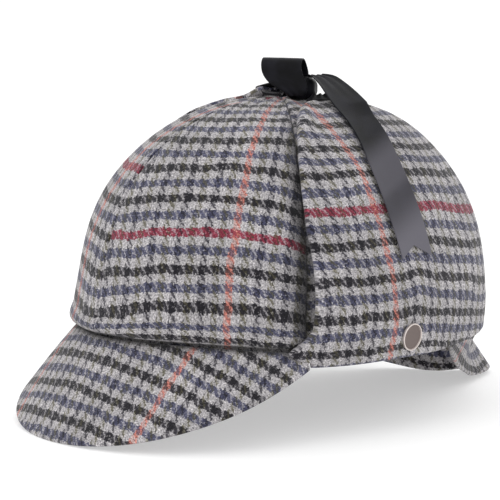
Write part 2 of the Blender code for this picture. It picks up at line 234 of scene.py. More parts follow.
class Finish:
    """A material and the nodes that give it its looks."""

    def __init__(self, name, **constants):
        self.material = bpy.data.materials.new(name)
        self.material.use_nodes = True
        self.shader = self.material.node_tree.nodes["Principled BSDF"]
        for socket, value in constants.items():
            self.shader.inputs[socket.replace("_", " ")].default_value = value

    def node(self, kind, settings=None, inputs=(), output=0):
        made = self.material.node_tree.nodes.new(kind)
        for key, value in (settings or {}).items():
            setattr(made, key, value)
        pairs = inputs.items() if isinstance(inputs, dict) else enumerate(inputs)
        for key, value in pairs:
            self.plug(made.inputs[key], value)
        return Value(self, made.outputs[output])

    def plug(self, socket, value):
        if isinstance(value, Value):
            self.material.node_tree.links.new(value.socket, socket)
        else:
            socket.default_value = value

    def mixed(self, first, second, share, blend="MIX"):
        """A colour between two colours. The Mix node keeps its colour sockets at 6 and 7."""
        return self.node(
            "ShaderNodeMix", {"data_type": "RGBA", "blend_type": blend},
            {0: share, 6: first, 7: second}, output=2,
        )

    def moved(self, vector, by):
        return self.node("ShaderNodeVectorMath", {"operation": "ADD"}, (vector, by))

    def scaled(self, vector, by):
        return self.node("ShaderNodeVectorMath", {"operation": "MULTIPLY"}, (vector, by))

    def parts(self, vector):
        """The x and y of a vector, as two numbers."""
        return [self.node("ShaderNodeSeparateXYZ", None, (vector,), output=i) for i in (0, 1)]

    def place(self, name):
        """A place on the piece that its mesh carries along, such as the cloth's own two directions."""
        return self.node("ShaderNodeAttribute", {"attribute_name": name}, output="Vector")

    def grain(self, vector, scale, detail=2.0, output=0):
        return self.node(
            "ShaderNodeTexNoise", {"noise_dimensions": "3D"},
            {"Vector": vector, "Scale": scale, "Detail": detail}, output=output,
        )

    def stray(self, vector, scale, detail, reach):
        """A random shift, up to half of the reach either way."""
        return self.scaled(self.moved(self.grain(vector, scale, detail, 1), (-0.5, -0.5, -0.5)), reach)

    def wear(self, **sockets):
        """Links the finished values to the shader."""
        for socket, value in sockets.items():
            self.plug(self.shader.inputs[socket.replace("_", " ")], value)

    def relief(self, height, depth, strength=1.0):
        sockets = {"Height": height, "Distance": depth, "Strength": strength}
        self.wear(Normal=self.node("ShaderNodeBump", None, sockets))


print("a finish is a formula from here on")

# %% [markdown]
# ## The tweed
#
# The cloth is a two-and-two twill, where each yarn passes over two and under two, and the next yarn
# does the same one step along, so a slanting rib appears. Yarns come in fours: light, black, light,
# olive one way and light, black, light, blue the other, with a red line in place of some of the
# blacks. Where a dark four crosses a light four, the twill makes the little slanting teeth of the
# check. Working it out from the yarns gives the right teeth, colours and relief at once, which a
# painted stripe would not.

# %% Yarns, with colours as the eye sees them
WARP_YARN = 0.805
WEFT_YARN = 1.031
FOUR = 4
REPEAT = 4 * FOUR
RED_WARP_EVERY = 7 * REPEAT
CRIMSON_WEFT_EVERY = 6 * REPEAT
LIGHT = (0.715, 0.70, 0.71, 1)
BLACK = (0.125, 0.118, 0.142, 1)
OLIVE = (0.325, 0.31, 0.235, 1)
BLUE = (0.285, 0.29, 0.385, 1)
RED = (0.77, 0.47, 0.42, 1)
CRIMSON = (0.53, 0.19, 0.26, 1)
FLECK = (0.93, 0.915, 0.89, 1)
SHADE = (0.20, 0.195, 0.215, 1)
FLECK_SHARE, SHADE_SHARE, CREASE_SHADE = 0.46, 0.50, 0.6
WANDER, WANDER_REACH = 0.06, (4.0, 4.0, 0)
FRAY, FRAY_REACH = 0.95, (2.6, 3.4, 0)
WOOL_RELIEF = 0.0003
SCREEN_GAMMA = 2.2


def yarn(finish, number, second, accent, accent_every):
    """The colour of a yarn by its number, in fours: light, black or accent, light, second. Also, whether
    it is the accent. Numbers are whole, so each limit lies half a yarn below the one that is meant."""
    place = number.wrap(accent_every)
    is_accent = (place > FOUR - 0.5) * (place < 2 * FOUR - 0.5)
    dark = number.wrap(2 * FOUR) > FOUR - 0.5
    late = number.wrap(REPEAT) > 2 * FOUR - 0.5
    colour = finish.mixed(finish.mixed(BLACK, accent, is_accent), second, late)
    return finish.mixed(LIGHT, colour, dark), is_accent


# %% [markdown]
# The wool is milled after weaving, which felts its surface. So a point never shows one yarn alone: the
# weft keeps a good part of the colour even where the warp lies on top. The mix is done on colours as
# the eye sees them, and turned into light at the end, or else the pale yarn would drown the dark one.
# Light hardly reaches into the creases of wool. So each point also carries how deep in a crease it
# lies, as "hollow", and the tweed's colour is darkened there: this is painted shade.

# %% Milled tweed
def tweed():
    finish = Finish(
        "tweed", Roughness=0.95, Sheen_Weight=0.16, Sheen_Roughness=0.55, Specular_IOR_Level=0.2
    )
    cloth = finish.place("cloth")
    wander = finish.stray(cloth, WANDER, 1.0, WANDER_REACH)
    fray = finish.stray(cloth, FRAY, 3.0, FRAY_REACH)
    across, along = finish.parts(finish.moved(finish.moved(cloth, wander), fray))
    warp, weft = across / WARP_YARN, along / WEFT_YARN
    warp_colour, is_red = yarn(finish, warp.floor(), OLIVE, RED, RED_WARP_EVERY)
    weft_colour, is_crimson = yarn(finish, weft.floor(), BLUE, CRIMSON, CRIMSON_WEFT_EVERY)
    twill = ((warp + weft) * (2 * math.pi / FOUR)).sine()
    warp_share = 0.15 + 0.56 * twill.between(0.05, 0.8) + 0.22 * is_red - 0.08 * is_crimson
    colour = finish.mixed(weft_colour, warp_colour, warp_share)

    fibres = finish.grain(cloth, 1.3, 3.0)
    flecks = finish.grain(finish.moved(cloth, (31.0, 7.0, 5.0)), 1.1, 2.0).between(0.56, 0.72)
    shades = finish.grain(finish.moved(cloth, (7.0, 53.0, 11.0)), 1.0, 2.0).between(0.56, 0.74)
    colour = finish.mixed(colour, FLECK, FLECK_SHARE * flecks)
    colour = finish.mixed(colour, SHADE, SHADE_SHARE * shades)
    # Painted shade: the hollow mark darkens the tweed's colour in creases beside the flaps, under the
    # crown's roll and at the peaks' roots.
    crease, _ = finish.parts(finish.place("hollow"))
    uneven = 0.84 + 0.26 * finish.grain(finish.moved(cloth, (3.0, 17.0, 29.0)), 0.045, 2.0)
    tone = (0.24 + 1.42 * fibres) * uneven * (1 - CREASE_SHADE * crease)
    grey = finish.node("ShaderNodeCombineXYZ", None, (tone, tone, tone))
    colour = finish.mixed(colour, grey, 1.0, "MULTIPLY")

    yarns = (2 * math.pi * warp).sine() * 0.25 + (2 * math.pi * weft).sine() * 0.25 + 0.5 * twill
    finish.wear(Base_Color=finish.node("ShaderNodeGamma", None, (colour, SCREEN_GAMMA)))
    finish.relief(0.35 * yarns + 1.6 * fibres, WOOL_RELIEF, 0.8)
    return finish.material


TWEED = tweed()
print("nodes in the tweed:", len(TWEED.node_tree.nodes))

# %% [markdown]
# ## Satin and metal
#
# Satin ribbon is woven so that long floats lie on its face. It is black, yet it gleams in broad soft
# patches where it lies on the flap. So it gets a low colour and a soft gloss, with fine ribs across it,
# and painted highlights: slanting bands of a paler base colour at the places of those patches, with a
# painted dip between two of them. The badge is a nickel-coloured metal: a polished rim round a brushed face.

# %% Satin ribbon
RIB, RIB_RELIEF = 0.45, 0.00006
SLANT = 0.45
DARK_SATIN, PALE_SATIN = (0.003, 0.003, 0.004, 1), (0.009, 0.009, 0.013, 1)
PAINTED_HIGHLIGHT = (0.150, 0.144, 0.168, 1)
PAINTED_HIGHLIGHTS = (
    # share of the painted highlight's paler colour (below 0 it takes some away), places along the ribbon in
    # mm where it starts and where it is full
    (0.56, 50, 68),
    (-0.20, 79, 86),
    (0.56, 88, 108),
)


def satin():
    finish = Finish("black_satin", Specular_IOR_Level=0.10, Sheen_Weight=0.02, Sheen_Roughness=0.4)
    ribbon = finish.place("cloth")
    across, along = finish.parts(ribbon)
    ribs = (along * (2 * math.pi / RIB)).sine()
    cloudy = finish.grain(ribbon, 0.12, 2.0)
    fine = finish.grain(finish.scaled(ribbon, (6.0, 0.8, 1.0)), 1.0, 2.0)
    slant = along + SLANT * across
    # Painted highlight: the paler colour is painted into the base colour along the ribbon, not made by the
    # lamps.
    painted_highlight = sum(share * slant.between(start, full) for share, start, full in PAINTED_HIGHLIGHTS)
    black = finish.mixed(DARK_SATIN, PALE_SATIN, cloudy.between(0.3, 0.7))
    finish.wear(
        Base_Color=finish.mixed(black, PAINTED_HIGHLIGHT, painted_highlight),
        Roughness=0.28 + 0.14 * fine + 0.08 * cloudy,
    )
    finish.relief(0.5 * ribs + fine, RIB_RELIEF, 0.7)
    return finish.material


SATIN = satin()

# %% Badge metal
BADGE_RADIUS = 6.7
RIM_START, RIM_FULL = 0.85 * BADGE_RADIUS, 0.88 * BADGE_RADIUS
FACE_METAL, RIM_METAL = (0.20, 0.165, 0.155, 1), (0.70, 0.63, 0.60, 1)
BRUSHED_RELIEF = 0.0001


def badge_metal():
    finish = Finish("badge_metal", Metallic=1.0)
    face = finish.place("cloth")
    across, along = finish.parts(face)
    radius = (across * across + along * along).power(0.5)
    rim = radius.between(RIM_START, RIM_FULL)
    brushed = finish.grain(finish.scaled(face, (0.6, 9.0, 1.0)), 1.0, 3.0)
    finish.wear(
        Base_Color=finish.mixed(FACE_METAL, RIM_METAL, rim),
        Roughness=0.46 - 0.16 * rim + 0.15 * brushed,
    )
    finish.relief(brushed * (1 - rim), BRUSHED_RELIEF, 0.8)
    return finish.material


METAL = badge_metal()
print("finishes:", TWEED.name, SATIN.name, METAL.name)

# %% [markdown]
# ## Walls of cloth with rounded edges
#
# Each piece of cloth here is a wall between an outer and an inner skin. Sewn and folded cloth has no
# sharp corners: it turns over in a half circle as wide as it is thick. So the two skins share their
# border, and near it each one bends towards the other along a quarter circle. Two such edges side by
# side make a seam's soft valley by themselves.

# %% Steps, edges and meshes
EDGE_STEPS = np.array([0.0, 0.04, 0.16, 0.36, 0.64, 1.0])
EDGE_SHARE = 0.3
PIECE_STEP, INSIDE_STEP = 90.0, 40
SWELL, CALM_BELOW = 0.8 * MM, 30


def stepped(lengths, count, radius):
    """Distances from 0 to each length, close together within a radius of both ends."""
    lengths = np.atleast_1d(lengths)[:, None]
    near = np.minimum(radius, EDGE_SHARE * lengths) * EDGE_STEPS
    middle = near[:, -1:] + (lengths - 2 * near[:, -1:]) * np.linspace(0, 1, count)[1:-1]
    return np.concatenate([near, middle, lengths - near[:, ::-1]], 1)


def rounding(distance, radius):
    """0 at an edge, 1 from a radius inwards."""
    inside = np.clip(1 - distance / radius, 0, 1)
    return np.sqrt(1 - inside**2)


def bell(x, middle, width):
    """1 at the middle, with a soft fall to both sides."""
    return np.exp(-((x - middle) / width) ** 2)


def run_along(points, axis=0):
    """The way to each point along a line of points."""
    steps = np.linalg.norm(np.diff(points, axis=axis), axis=-1)
    return np.concatenate([np.zeros_like(steps.take([0], axis)), np.cumsum(steps, axis)], axis)


def on_cloth(across, along, number):
    """Places on the flat cloth in mm. Each piece has its own level, so that no two share their grain."""
    return np.stack(np.broadcast_arrays(across, along, PIECE_STEP * number), -1)


def grid_normals(grid):
    """Unit normals of a grid of points."""
    along = np.gradient(grid, axis=0)
    across = np.gradient(grid, axis=1)
    normals = np.cross(across, along)
    return normals / np.maximum(np.linalg.norm(normals, axis=-1, keepdims=True), 1e-12)


def cloth_mesh(name, outer, inner, cloth, finish, node, hollow=None):
    """A closed piece from two skins that share their border. cloth holds each point's place on the flat
    cloth, and hollow how deep in a crease it lies, from 0 to 1, which sets the painted shade there."""
    rows, columns = outer.shape[:2]
    outside = np.arange(rows * columns).reshape(rows, columns)
    inside = outside + rows * columns
    for border in (np.s_[0, :], np.s_[-1, :], np.s_[:, 0], np.s_[:, -1]):
        inside[border] = outside[border]

    def quads(index):
        return np.stack([index[:-1, :-1], index[:-1, 1:], index[1:, 1:], index[1:, :-1]], -1).reshape(-1, 4)

    faces = np.concatenate([quads(outside), quads(inside)[:, ::-1]])
    points = np.concatenate([outer.reshape(-1, 3), inner.reshape(-1, 3)])
    marks = {"cloth": np.concatenate([cloth.reshape(-1, 3), cloth.reshape(-1, 3) + (0, 0, INSIDE_STEP)])}
    if hollow is not None:
        marks["hollow"] = np.zeros(points.shape)
        marks["hollow"][:hollow.size, 0] = hollow.ravel()
    used, faces = np.unique(faces, return_inverse=True)
    points, faces = points[used], faces.reshape(-1, 4)
    a, b, c, d = (points[faces[:, i]] for i in range(4))
    if (np.cross(c - a, d - b) * (a + b + c + d)).sum() < 0:
        faces = faces[:, ::-1]
    return worn(name, points, faces.tolist(), {mark: marks[mark][used] for mark in marks}, finish, node)


def worn(name, points, faces, marks, finish, node):
    """Puts a piece on the hat, in the place of its solid. marks are what each point carries."""
    mesh = bpy.data.meshes.new(name)
    mesh.from_pydata(points.tolist(), [], faces)
    for mark, values in marks.items():
        mesh.attributes.new(mark, "FLOAT_VECTOR", "POINT").data.foreach_set("vector", values.ravel())
    mesh.shade_smooth()
    mesh.materials.append(finish)
    piece = bpy.data.objects.new(name, mesh)
    bpy.context.scene.collection.objects.link(piece)
    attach(piece, "root")
    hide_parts(node)
    print(f"{piece.name}: {len(piece.data.polygons)} faces")
    return piece


def eased(points):
    """Slow swells that keep cloth from lying dead true. All the cloth shares them, so no gap closes."""
    x, y, z = np.moveaxis(points, -1, 0) / MM
    calm = np.clip(z / CALM_BELOW, 0, 1)
    swell = np.stack([
        0.5 * np.sin(y / 19 + z / 31 + 0.4) + 0.3 * np.sin(y / 8.7 - z / 13),
        0.5 * np.sin(x / 21 - z / 27 + 1.1) + 0.3 * np.sin(x / 9.3 + z / 12),
        0.4 * np.sin(x / 23 + y / 29 + 2.0) + 0.2 * np.sin(x / 11 - y / 9),
    ], -1)
    return points + swell * calm[..., None] * SWELL


# %% [markdown]
# ## The crown's six panels
#
# A flat wedge of tweed can only follow a dome by easing. Its rows of weft spread over the fullest part
# and sag a little towards the side seam, and its warp leans towards the middle as it nears the top.
# Each panel was cut from a different part of the bolt, so its red lines fall in a place of its own,
# and the check never matches across a seam.

# %% How the cloth lies on a panel
CLOTH = 3.0 * MM
GORE_TOP = 0.9985
WARP_RED = 6 * WARP_YARN
WEFT_CRIMSON = 6 * WEFT_YARN
CROWN_ROWS = (
    # climb, way up the flat cloth from the crimson row
    (-6, -61), (5, -49.5), (22, -33), (37, -16.5), (55, 0), (72.5, 16.5), (91.5, 33), (111, 49.5),
    (130.5, 66), (174, 103),
)
CROWN_SAG = (
    # climb, sag of the rows at the side seam
    (0, 2.5), (22, 3.5), (53, 6.5), (73, 7.0), (92, 6.0), (111, 1.0), (130, -4.0),
)
WARP_LEAN = (
    # climb, share of the way out from the middle, crowding of the yarns
    (0, 0.96, 1.0), (25, 1.0, 1.0), (53, 1.03, 1.0), (75, 1.01, 1.0), (95, 0.9, 1.02), (110, 0.8, 1.05),
    (125, 0.68, 1.12), (140, 0.53, 1.25), (155, 0.37, 1.45), (174, 0.15, 2.0),
)
SAG_CENTRE, SAG_LIMIT = 5, 60
BACK_HALF, FRONT_HALF = 42, 46
FRONT_SAG = 3.5
LEVEL_FROM, LEVEL_AT = 80, 111


def column(table, x, number=1):
    """The table's column at x, on straight runs."""
    rows = np.array(table, float)
    return np.interp(x, rows[:, 0], rows[:, number])


def panel_cloth(across, climb, side, red, crimson):
    """Ways on the flat cloth in mm. across is measured from a panel's middle, towards the back on side 1."""
    aside = np.clip(side * across - SAG_CENTRE, -SAG_LIMIT, SAG_LIMIT)
    backward = column(CROWN_SAG, climb) * (aside / BACK_HALF) ** 2
    forward = FRONT_SAG * (aside / FRONT_HALF) ** 2
    level = np.clip((LEVEL_AT - climb) / (LEVEL_AT - LEVEL_FROM), 0, 1)
    sag = np.where(aside > 0, backward, forward * level)
    way_up = column(CROWN_ROWS, climb + sag) - column(CROWN_ROWS, crimson)
    way_across = (across - red * column(WARP_LEAN, climb)) * column(WARP_LEAN, climb, 2)
    return way_across + WARP_RED, way_up + WEFT_CRIMSON


# %% [markdown]
# The lower edge of a front panel is turned in behind the peak, as a seam allowance is. That closes the
# seam, and leaves the deep crease under the roll. Beside each flap the crown is pulled in to a hollow,
# and round the top its cloth is gathered in small folds.

# %% Crown panels
PANEL_ROWS, PANEL_COLUMNS, PHI_STEPS = 94, 52, 181
SEAM_HALF = 0.1 * MM
HEM, HEM_SET, HEM_ROUND = 5.5 * MM, 3.4 * MM, 2.2 * MM
INSIDE_TUCK = 0.6
GATHER_FROM, GATHER_FADE, GATHERS, GATHER_DEPTH = 128, 40, 11, 0.55 * MM
VALLEY_AT, VALLEY_WIDTH, VALLEY_DEPTH = 65.2, 3.4, 2.2 * MM
HEM_SHADE, HEM_SHADE_AT, HEM_SHADE_WIDTH = 0.75, -1.0, 2.4
CREASE_AT, CREASE_WIDTH = 65.0, 3.0
CREASE_FADE = (
    # climb, depth of the painted shade beside the flap
    (2, 0.5), (14, 0.95), (60, 0.85), (90, 0.6), (112, 0.5), (126, 0.3), (140, 0.0),
)
VALLEY_FADE = (
    # climb, share of the depth
    (6, 0.0), (16, 1.0), (70, 0.8), (104, 0.5), (122, 0.0),
)
PANELS = (
    # node, first seam, last seam, side, red warp from the middle, climb of the crimson weft, hem or not
    ("crown_front_left", 0, 66, 1, 19.0, 55.0, True),
    ("crown_front_right", -66, 0, -1, 27.0, 90.0, True),
    ("crown_side_left", 66, 114, 1, -12.0, 68.0, False),
    ("crown_side_right", -114, -66, -1, 14.0, 74.0, False),
    ("crown_back_left", 114, 180, -1, -31.0, 62.0, False),
    ("crown_back_right", -180, -114, 1, 22.0, 84.0, False),
)


def valley(phi, climb):
    """The hollow along each flap's front edge, where the flap pulls the crown in."""
    return VALLEY_DEPTH * bell(np.abs(phi), VALLEY_AT, VALLEY_WIDTH) * column(VALLEY_FADE, climb / MM)


def crown_panel(number, node, start, end, side, red, crimson, hem):
    low = -HEM if hem else 0.0
    climbs = low + stepped((WALL_HEIGHT + DOME_CLIMB) * GORE_TOP - low, PANEL_ROWS, CLOTH / 2)[0]
    phi_fine = np.linspace(start, end, PHI_STEPS)
    run = run_along(crown_point(phi_fine[None, :], climbs[:, None], edge_lift=False), 1)
    widths = run[:, -1:]
    across = SEAM_HALF + stepped(widths[:, 0] - 2 * SEAM_HALF, PANEL_COLUMNS, CLOTH / 2)
    phi = np.stack([np.interp(a, r, phi_fine) for a, r in zip(across, run)])
    climb = np.broadcast_to(climbs[:, None], phi.shape)

    radius = np.minimum(CLOTH / 2, EDGE_SHARE * widths)
    ends = rounding(climb - low, CLOTH / 2) * rounding(climbs[-1] - climb, CLOTH / 2)
    sides = rounding(across - SEAM_HALF, radius) * rounding(widths - SEAM_HALF - across, radius)
    depth = CLOTH / 2 * (1 - ends * sides)
    gather = np.clip((climb / MM - GATHER_FROM) / GATHER_FADE, 0, 1) * np.sin(np.radians(phi * GATHERS))
    roll = bulge(phi, climb) + gather * GATHER_DEPTH - valley(phi, climb)
    tuck = HEM_SET * (1 - rounding(climb, HEM_ROUND)) if hem else 0.0
    outer = crown_point(phi, climb, roll - depth - tuck)
    inner = crown_point(phi, climb, roll - CLOTH + depth - tuck * INSIDE_TUCK)

    from_middle = across - run[:, PHI_STEPS // 2, None]
    cloth = on_cloth(*panel_cloth(from_middle / MM, climb / MM, side, red, crimson), number)
    # Painted shade: the tweed is darkened beside each flap and under the roll over the front peak.
    painted_shade_by_flap = bell(np.abs(phi), CREASE_AT, CREASE_WIDTH) * column(CREASE_FADE, climb / MM)
    painted_shade_by_peak = HEM_SHADE * bell(climb / MM, HEM_SHADE_AT, HEM_SHADE_WIDTH) if hem else 0.0
    hollow = np.clip(painted_shade_by_flap + painted_shade_by_peak, 0, 1)
    return cloth_mesh(node + "_tweed", eased(outer), eased(inner), cloth, TWEED, node, hollow)


for number, row in enumerate(PANELS):
    crown_panel(number, *row)

# %% [markdown]
# ## The peaks
#
# A peak is a stiff crescent, cut flat, covered and then bent round the rim, so every line from the rim
# to its edge is straight. Such a surface can be rolled out flat again exactly, strip by strip, from the
# distances between its points. That gives the tweed on the front peak the straight, parallel lines of
# the flat cloth, bent as the real ones are. The back peak is bent too far for it, so its cloth is laid
# from the ways along its two edges.

# %% Rolling a peak out flat
def rolled_out(roots, tips):
    """Flat places of the two ends of each line across a bent strip, from the middle line outwards."""
    flat = np.zeros((len(roots), 2, 2))
    middle = len(roots) // 2
    flat[middle, 1] = (0, -np.linalg.norm(tips[middle] - roots[middle]))

    def third(a, b, from_a, from_b, side):
        """The point at these distances from a and b, on that side of the line between them."""
        base = np.linalg.norm(b - a)
        along = (base**2 + from_a**2 - from_b**2) / (2 * base)
        away = math.sqrt(max(0.0, from_a**2 - along**2))
        way = (b - a) / base
        return a + way * along + np.array([-way[1], way[0]]) * away * side

    for side in (1, -1):
        stop = len(roots) if side > 0 else -1
        for j in range(middle + side, stop, side):
            a, b = flat[j - side]
            reach = [np.linalg.norm(roots[j] - p) for p in (roots[j - side], tips[j - side])]
            flat[j, 0] = third(a, b, *reach, side)
            reach = [np.linalg.norm(tips[j] - p) for p in (roots[j], tips[j - side])]
            flat[j, 1] = third(flat[j, 0], b, *reach, side)
    return flat


def rim_point(phi):
    turn = np.radians(phi)
    return np.stack([
        RIM_HALF_WIDTH * np.sin(turn),
        RIM_CENTRE_Y - RIM_HALF_LENGTH * np.cos(turn),
        RIM_HEIGHT + rim_lift(phi),
    ], -1)


def level_way(phi, sweep):
    """The level way out of a peak, which turns a little less than the rim does."""
    turn = np.radians(phi)
    out = sweep * np.arctan2(RIM_HALF_LENGTH * np.sin(turn), RIM_HALF_WIDTH * np.cos(turn))
    return np.stack([np.sin(out), -np.cos(out), np.zeros_like(out)], -1)


# %% [markdown]
# A wall of even thickness is laid under the upper skin, thinner towards the outer edge, where the
# cloth is turned over. Where the hat stands on it, the edge lies flat on the floor. The back peak's
# cloth is also turned up inside the crown, as a seam allowance is, so no light comes through the seam.

# %% A peak's wall
PEAK_ROWS = 26
PEAK_THICKNESS = 3.6 * MM
PEAK_EDGE = 0.62
PEAK_SEAT = 0.35 * MM
FLOOR_CLEAR = 0.02 * MM
ROOT_SHADE, ROOT_SHADE_AT, ROOT_SHADE_WIDTH = 0.75, 1.5 * MM, 2.2 * MM
BACK_ROW_LEAN, LEAN_ROUND = 0.34, 12
ALLOWANCE_STEP = 1.5
ALLOWANCE = (
    # climb, depth of the outer skin inside the crown's surface, depth of the inner skin
    (4.2, 3.6, 4.6),
    (3.4, 3.5, 4.9),
    (1.2, 3.5, 5.0),
    (-0.2, 3.4, 5.0),
)


def laid_by_edges(roots, tips, down, share):
    """Flat places from the ways along a peak's two edges and the way down it, with rows that lean."""
    root_run, tip_run = (run_along(line)[:, None] / MM for line in (roots, tips))
    root_way, tip_way = root_run - root_run[-1] / 2, tip_run - tip_run[-1] / 2
    around = root_way + (tip_way - root_way) * share
    return np.stack([around, -down / MM - BACK_ROW_LEAN * np.hypot(around, LEAN_ROUND)], -1)


def turned_inside(outer, inner, places, phi, closed):
    """The skins and places with the seam allowance that is turned up inside the crown."""
    for climb, depth, inside in ALLOWANCE[::-1]:
        deep = depth + (inside - depth) * closed
        outer = np.concatenate([crown_point(phi, climb * MM, -depth * MM)[:, None], outer], 1)
        inner = np.concatenate([crown_point(phi, climb * MM, -deep * MM)[:, None], inner], 1)
        places = np.concatenate([places[:, :1] + (0, ALLOWANCE_STEP), places], 1)
    return outer, inner, places


def peak(node, number, roots, tips, swell, red, crimson, turned_up=None):
    """roots and tips are the ends of the straight lines across the peak, from the wearer's right to left.
    turned_up gives the roots' angles on the rim, if the cloth goes on inside the crown."""
    lengths = np.linalg.norm(tips - roots, axis=-1)[:, None]
    down = stepped(lengths[:, 0], PEAK_ROWS, PEAK_THICKNESS * PEAK_EDGE / 2)
    share = down / lengths
    grid = roots[:, None] + (tips - roots)[:, None] * share[..., None]
    normals = grid_normals(grid)
    normals *= np.sign(normals[..., 2:3].mean())
    rise = swell * np.sin(np.pi * share) * np.minimum(1, lengths / lengths.max())
    grid = grid + normals * rise[..., None]
    thickness = PEAK_THICKNESS * (1 + (PEAK_EDGE - 1) * share)
    edge_run = run_along(tips)[:, None]
    from_side = np.minimum(edge_run, edge_run[-1] - edge_run)
    radius = thickness / 2
    ends = rounding(lengths - down, radius) * rounding(from_side, radius)
    soft = rounding(down, radius) * ends
    soft_inside = soft if turned_up is None else ends
    outer = grid - normals * (radius * (1 - soft))[..., None]
    inner = grid - normals * (thickness - radius * (1 - soft_inside))[..., None]
    for skin in (outer, inner):
        skin[..., 2] = np.maximum(skin[..., 2], FLOOR_CLEAR)
    if turned_up is None:
        flat = rolled_out(roots, tips) / MM
        places = flat[:, :1] + (flat[:, 1:] - flat[:, :1]) * share[..., None]
    else:
        places = laid_by_edges(roots, tips, down, share)
        closed = rounding(from_side, radius)[:, 0]
        outer, inner, places = turned_inside(outer, inner, places, turned_up, closed)
    across, along = np.moveaxis(places + (WARP_RED - red, WEFT_CRIMSON - crimson), -1, 0)
    cloth = on_cloth(across, along, number)
    # Painted shade: the tweed is darkened along the peak's root, under the crown's edge.
    hollow = ROOT_SHADE * bell(run_along(outer, 1), ROOT_SHADE_AT, ROOT_SHADE_WIDTH)
    return cloth_mesh(node + "_tweed", eased(outer), eased(inner), cloth, TWEED, node, hollow)


# %% The front peak
FRONT_PEAK_LENGTH = 57.2 * MM
FRONT_PEAK_SLOPE = 53.4
FRONT_PEAK_RELAX = 12.4
FRONT_PEAK_REACH = 72.2
FRONT_PEAK_END = 66.2
PEAK_SWEEP = 0.93
PEAK_TAPER = 2.15
FRONT_PEAK_SWELL = 0.8 * MM
FRONT_PEAK_LINES = 151

phi = FRONT_PEAK_END * np.sin(np.linspace(-np.pi / 2, np.pi / 2, FRONT_PEAK_LINES))
share = np.abs(phi) / FRONT_PEAK_REACH
slope = np.radians(FRONT_PEAK_SLOPE - FRONT_PEAK_RELAX * share**2)[:, None]
way = level_way(phi, PEAK_SWEEP) * np.cos(slope) - np.sin(slope) * (0, 0, 1)
roots = rim_point(phi) - np.array([0, 0, PEAK_SEAT])
tips = roots + way * (FRONT_PEAK_LENGTH * (1 - share**PEAK_TAPER))[:, None]
peak("front_peak", 6, roots, tips, FRONT_PEAK_SWELL, red=51.5, crimson=37.0)

# %% [markdown]
# The back peak turns down more steeply, curls in at its ends and has taken a slight kink at its tip, so
# its reach and drop come from a short table, smoothed into a curve.

# %% The back peak
BACK_PEAK_LINES = 171
BACK_PEAK_SWEEP = 0.67
BACK_PEAK_SKEW = 0.0028
BACK_PEAK = (
    # angle from the centre back towards the wearer's left, reach outwards, drop below the rim
    (-60, -3.0, 4.6),
    (-50, -8.0, 11.4),
    (-40, -8.6, 18.4),
    (-30, -4.0, 26.0),
    (-20, 4.0, 32.0),
    (-12, 8.0, 35.0),
    (-6, 13.0, 35.8),
    (-3, 22.0, 35.6),
    (0, 33.2, 35.2),
    (4, 30.0, 35.6),
    (9, 18.0, 36.0),
    (15, 6.0, 34.8),
    (20, 0.0, 32.2),
    (30, -8.0, 26.4),
    (40, -10.6, 19.4),
    (50, -9.0, 12.0),
    (60, -3.0, 4.6),
)


def smooth_rows(rows, parts):
    """A table with further rows between its own, on Catmull-Rom curves."""
    rows = np.array(rows, float)
    padded = np.concatenate([rows[:1], rows, rows[-1:]])
    made = []
    for i in range(len(rows) - 1):
        a, b, c, d = padded[i:i + 4]
        for t in np.arange(parts) / parts:
            bend, twist = 2 * a - 5 * b + 4 * c - d, 3 * b - a - 3 * c + d
            made.append(0.5 * (2 * b + (c - a) * t + bend * t**2 + twist * t**3))
    return np.array(made + [rows[-1]])


psi = BACK_PEAK[-1][0] * np.linspace(-1, 1, BACK_PEAK_LINES)
table = smooth_rows(BACK_PEAK, parts=6)
reach = np.interp(psi, table[:, 0], table[:, 1]) * MM
roots = rim_point(180 - psi) - np.array([0, 0, PEAK_SEAT])
drop = np.interp(psi, table[:, 0], table[:, 2]) * MM * (1 - BACK_PEAK_SKEW * roots[:, 0] / MM)
way = level_way(psi, BACK_PEAK_SWEEP) * (1, -1, 1)
tips = roots + way * reach[:, None] - drop[:, None] * (0, 0, 1)
peak("back_peak", 7, roots[::-1], tips[::-1], 0.0, red=4.0, crimson=22.0, turned_up=180 - psi[::-1])

# %% [markdown]
# ## The ear flaps
#
# Each flap is two layers of tweed with a fold under the rim, turned up against the crown. It stands
# about 5 mm proud low down and thins towards its rounded top, where the ribbon is sewn in. Its warp
# runs straight up as seen from the side, spaced wider towards the back edge, and its rows spread a
# little low down, where the cloth swells over the fold. Its top edge is padded in front, its front edge
# rolls, and its toe rests on the end of the front peak.

# %% Ear flaps
FLAP_OUTLINE = (
    # climb, front edge, back edge, lift off the crown, thickness
    (-4.6, 66.5, 145.5, 0.8, 4.3),
    (-2.2, 66.4, 148.8, 0.8, 4.3),
    (-1.4, 62.6, 149.6, 0.8, 4.4),
    (1.0, 60.8, 150.8, 0.8, 4.6),
    (3.2, 60.6, 151.2, 0.8, 4.9),
    (4.3, 61.6, 151.6, 0.8, 4.9),
    (8.0, 64.6, 152.0, 0.6, 5.4),
    (13.0, 66.8, 152.0, 0.6, 5.5),
    (24.0, 67.3, 152.0, 0.6, 5.0),
    (40.0, 66.7, 152.0, 0.6, 4.2),
    (56.0, 65.4, 152.0, 0.6, 3.4),
    (76.0, 65.0, 152.0, 0.6, 2.8),
    (96.0, 65.2, 151.0, 0.7, 2.6),
    (112.0, 66.2, 149.0, 0.7, 2.8),
)
LEFT_FLAP_TOP = (
    # climb, front edge, back edge, lift off the crown, thickness
    (124.0, 67.4, 145.0, 0.7, 3.2),
    (131.0, 69.0, 140.0, 0.7, 3.4),
    (137.0, 71.6, 134.0, 0.8, 3.6),
    (141.6, 76.4, 127.0, 0.9, 3.6),
    (144.3, 84.0, 118.0, 1.2, 3.0),
)
